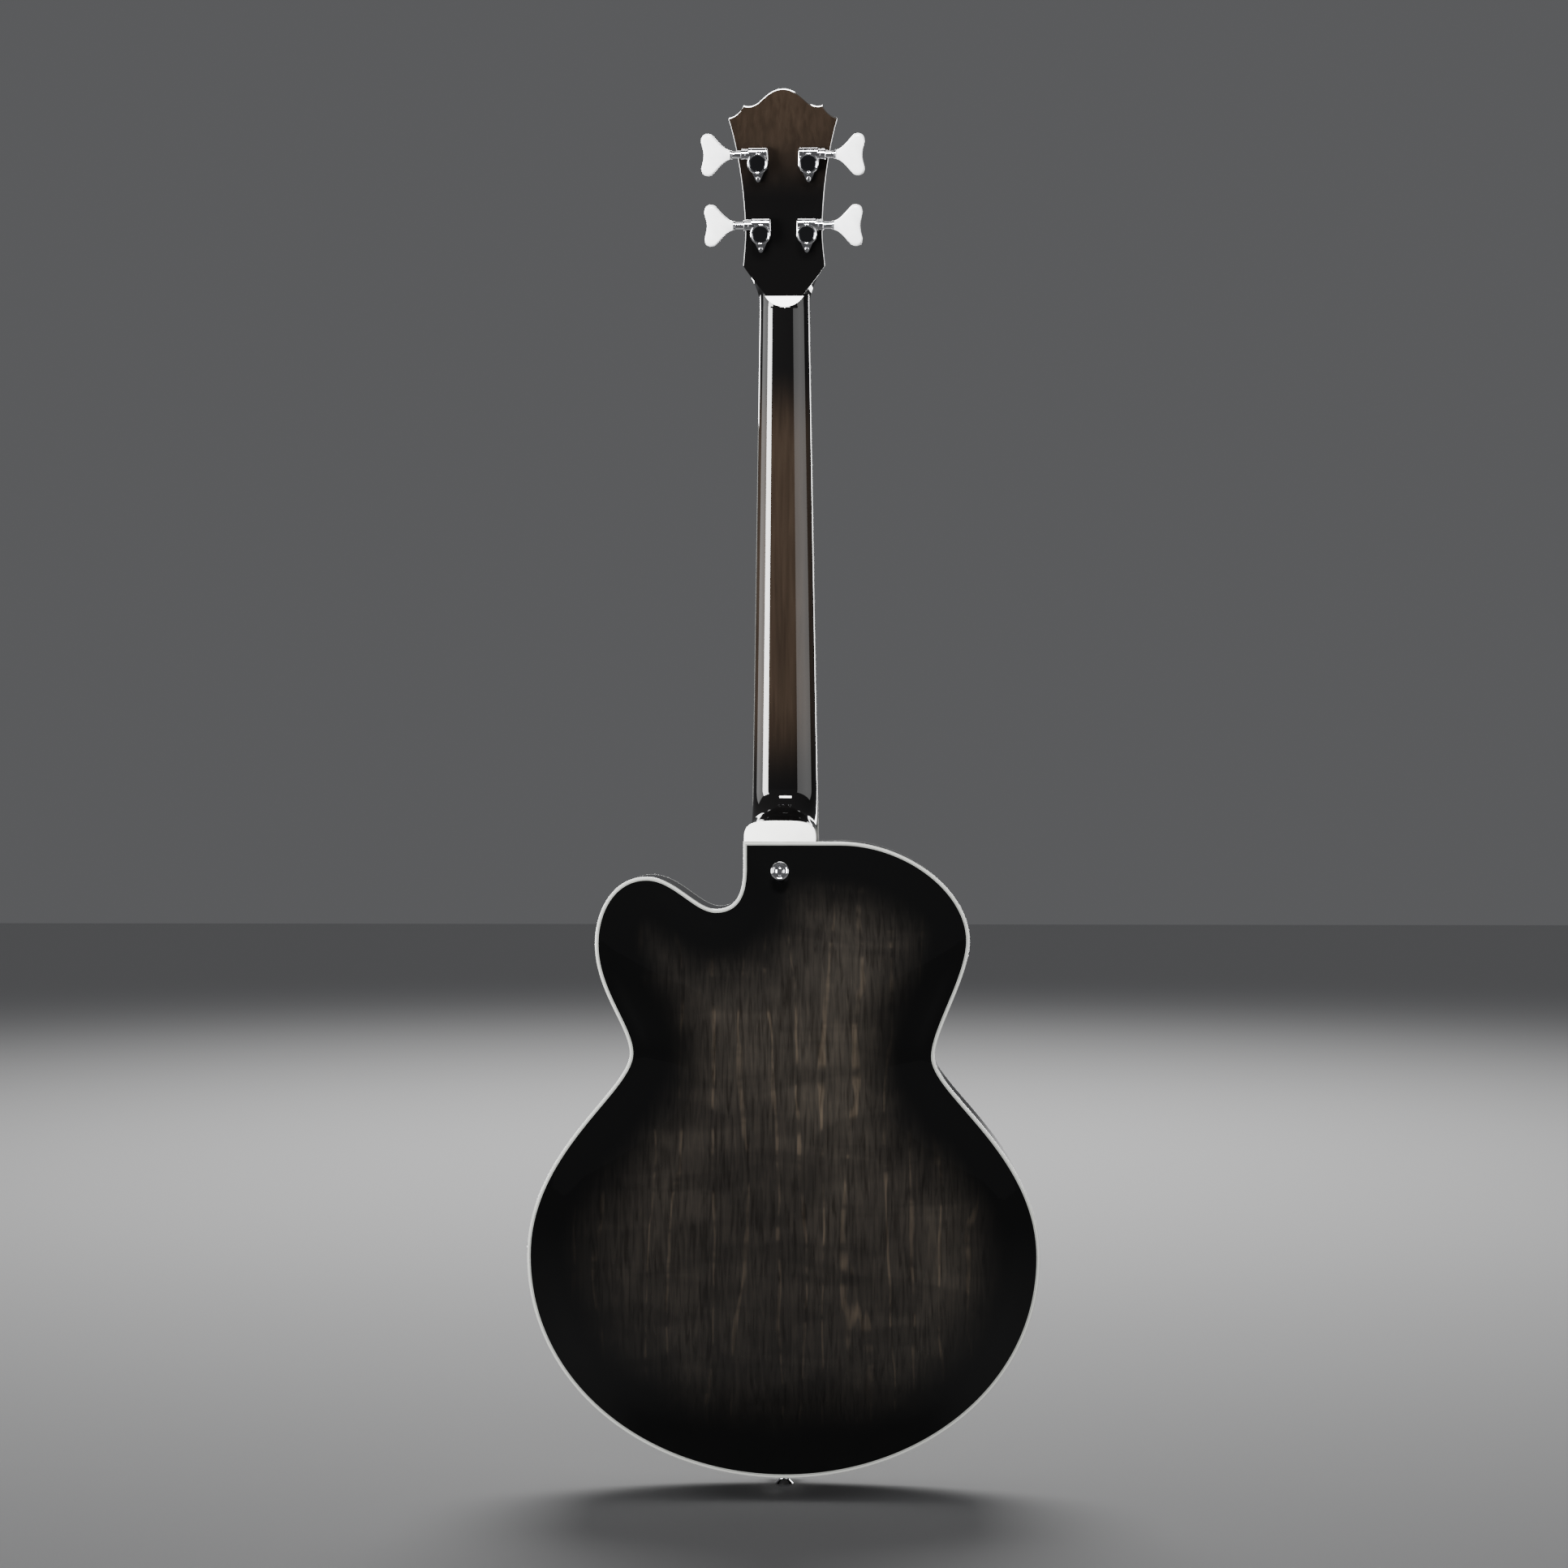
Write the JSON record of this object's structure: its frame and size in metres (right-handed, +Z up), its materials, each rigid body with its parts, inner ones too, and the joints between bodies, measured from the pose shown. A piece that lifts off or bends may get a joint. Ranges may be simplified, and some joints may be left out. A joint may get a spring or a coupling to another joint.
{
  "type": "hollow-body bass guitar",
  "caption": "Single-cutaway hollow-body electric bass guitar with arched top and back, bound edges, set neck, geared tuners, trapeze tailpiece and height-adjustable bridge.",
  "frame": {"origin": "middle of the nut's board side on the neck's glue plane, where a wall hanger's cradle takes the head", "axes": "+Z up to the head, -Y the strings' side, +X the treble side with the cutaway"},
  "size_m": [0.4065, 0.1256, 1.1067],
  "materials": {
    "stained_maple": "gloss lacquer over a dark stain that fades to black at the edges",
    "stained_neck": "gloss lacquer over a brown stain",
    "raw_mahogany": "raw",
    "raw_spruce": "raw",
    "cream_plastic": "polished",
    "white_plastic": "satin pearl",
    "black_plastic": "polished",
    "rosewood": "oiled, open grain",
    "bone": "polished",
    "chrome": "mirror plating",
    "bright_metal": "polished plating",
    "steel": "drawn"
  },
  "bodies": {
    "root": {"a_string": "steel", "a_tuner_housing": "chrome", "back_binding": "cream_plastic", "back_lining": "raw_spruce", "back_plate": "stained_maple", "bass_tone_bar": "raw_spruce", "bridge_base": "rosewood", "bridge_pickup_ring": "black_plastic", "d_string": "steel", "d_tuner_housing": "chrome", "e_string": "steel", "e_tuner_housing": "chrome", "end_strap_button": "chrome", "fingerboard": "rosewood", "g_string": "steel", "g_tuner_housing": "chrome", "head_binding": "cream_plastic", "head_plate": "black_plastic", "heel_cap": "cream_plastic", "heel_strap_button": "chrome", "neck": "stained_neck", "neck_block": "raw_mahogany", "neck_pickup_ring": "black_plastic", "nut": "bone", "output_jack": "chrome", "rim": "stained_maple", "switch_body": "steel", "tail_block": "raw_mahogany", "tailpiece_bracket": "bright_metal", "tailpiece_pin": "bright_metal", "tone_pot": "steel", "top_binding": "cream_plastic", "top_lining": "raw_spruce", "top_plate": "stained_maple", "treble_tone_bar": "raw_spruce", "truss_rod": "steel", "truss_rod_cover": "black_plastic", "volume_pot": "steel"},
    "e_button": {"e_tuner_worm_shaft": "steel", "e_tuner_button": "white_plastic"},
    "a_button": {"a_tuner_worm_shaft": "steel", "a_tuner_button": "white_plastic"},
    "d_button": {"d_tuner_worm_shaft": "steel", "d_tuner_button": "white_plastic"},
    "g_button": {"g_tuner_worm_shaft": "steel", "g_tuner_button": "white_plastic"},
    "e_post": {"e_tuner_post": "steel"},
    "a_post": {"a_tuner_post": "steel"},
    "d_post": {"d_tuner_post": "steel"},
    "g_post": {"g_tuner_post": "steel"},
    "volume_knob": {"volume_knob": "black_plastic"},
    "tone_knob": {"tone_knob": "black_plastic"},
    "switch_lever": {"switch_lever": "chrome"},
    "bridge_top": {"bridge_top": "rosewood"},
    "bass_thumbwheel": {"bass_thumbwheel": "bright_metal"},
    "treble_thumbwheel": {"treble_thumbwheel": "bright_metal"},
    "tailpiece": {"tailpiece": "bright_metal"},
    "neck_pickup": {"neck_pickup": "chrome"},
    "bridge_pickup": {"bridge_pickup": "chrome"}
  },
  "joints": [
    {"name": "e_button_turn", "type": "hinge", "parent": "root", "child": "e_button", "pos_m": [-0.0183, 0.03472, 0.06128], "axis": [-1, 0, 0], "continuous": true},
    {"name": "e_post_turn", "type": "hinge", "parent": "root", "child": "e_post", "pos_m": [-0.0183, 0.02775, 0.05661], "axis": [0, 0.9563, -0.2924], "continuous": true},
    {"name": "a_button_turn", "type": "hinge", "parent": "root", "child": "a_button", "pos_m": [-0.02, 0.05077, 0.11378], "axis": [-1, 0, 0], "continuous": true},
    {"name": "a_post_turn", "type": "hinge", "parent": "root", "child": "a_post", "pos_m": [-0.02, 0.04381, 0.10911], "axis": [0, 0.9563, -0.2924], "continuous": true},
    {"name": "d_button_turn", "type": "hinge", "parent": "root", "child": "d_button", "pos_m": [0.02, 0.05077, 0.11378], "axis": [1, 0, 0], "continuous": true},
    {"name": "d_post_turn", "type": "hinge", "parent": "root", "child": "d_post", "pos_m": [0.02, 0.04381, 0.10911], "axis": [0, 0.9563, -0.2924], "continuous": true},
    {"name": "g_button_turn", "type": "hinge", "parent": "root", "child": "g_button", "pos_m": [0.0183, 0.03472, 0.06128], "axis": [1, 0, 0], "continuous": true},
    {"name": "g_post_turn", "type": "hinge", "parent": "root", "child": "g_post", "pos_m": [0.0183, 0.02775, 0.05661], "axis": [0, 0.9563, -0.2924], "continuous": true},
    {"name": "volume_turn", "type": "hinge", "parent": "root", "child": "volume_knob", "pos_m": [0.143, -0.02146, -0.74392], "axis": [0.1017, -0.9947, 0.0141], "range_deg": [-150, 150]},
    {"name": "tone_turn", "type": "hinge", "parent": "root", "child": "tone_knob", "pos_m": [0.134, -0.02134, -0.80792], "axis": [0.1006, -0.9939, -0.0441], "range_deg": [-150, 150]},
    {"name": "switch_tilt", "type": "hinge", "parent": "root", "child": "switch_lever", "pos_m": [-0.10179, -0.01895, -0.51105], "axis": [0.9952, -0.0976, 0], "range_deg": [-12, 12]},
    {"name": "bass_wheel_turn", "type": "hinge", "parent": "bridge_top", "child": "bass_thumbwheel", "pos_m": [-0.04, -0.0425, -0.7682], "axis": [0, -1, 0], "range_deg": [-900, 0]},
    {"name": "treble_wheel_turn", "type": "hinge", "parent": "bridge_top", "child": "treble_thumbwheel", "pos_m": [0.04, -0.0425, -0.7682], "axis": [0, -1, 0], "range_deg": [-900, 0]},
    {"name": "bridge_height", "type": "slide", "parent": "root", "child": "bridge_top", "axis": [0, -1, 0], "range_m": [-0.002, 0]},
    {"name": "tailpiece_tilt", "type": "hinge", "parent": "root", "child": "tailpiece", "pos_m": [0, -0.02035, -0.92942], "axis": [1, 0, 0], "range_deg": [-0.6, 0.6]},
    {"name": "neck_pickup_height", "type": "slide", "parent": "root", "child": "neck_pickup", "axis": [0, -1, 0], "range_m": [-0.003, 0.001]},
    {"name": "bridge_pickup_height", "type": "slide", "parent": "root", "child": "bridge_pickup", "axis": [0, -1, 0], "range_m": [-0.003, 0.001]}
  ],
  "couplings": [
    {"joint": "e_post_turn", "follows": "e_button_turn", "ratio": -0.05},
    {"joint": "a_post_turn", "follows": "a_button_turn", "ratio": -0.05},
    {"joint": "d_post_turn", "follows": "d_button_turn", "ratio": -0.05},
    {"joint": "g_post_turn", "follows": "g_button_turn", "ratio": -0.05},
    {"joint": "bridge_height", "follows": "bass_wheel_turn", "m_per_rad": 0.00012732},
    {"joint": "treble_wheel_turn", "follows": "bass_wheel_turn", "ratio": 1}
  ]
}
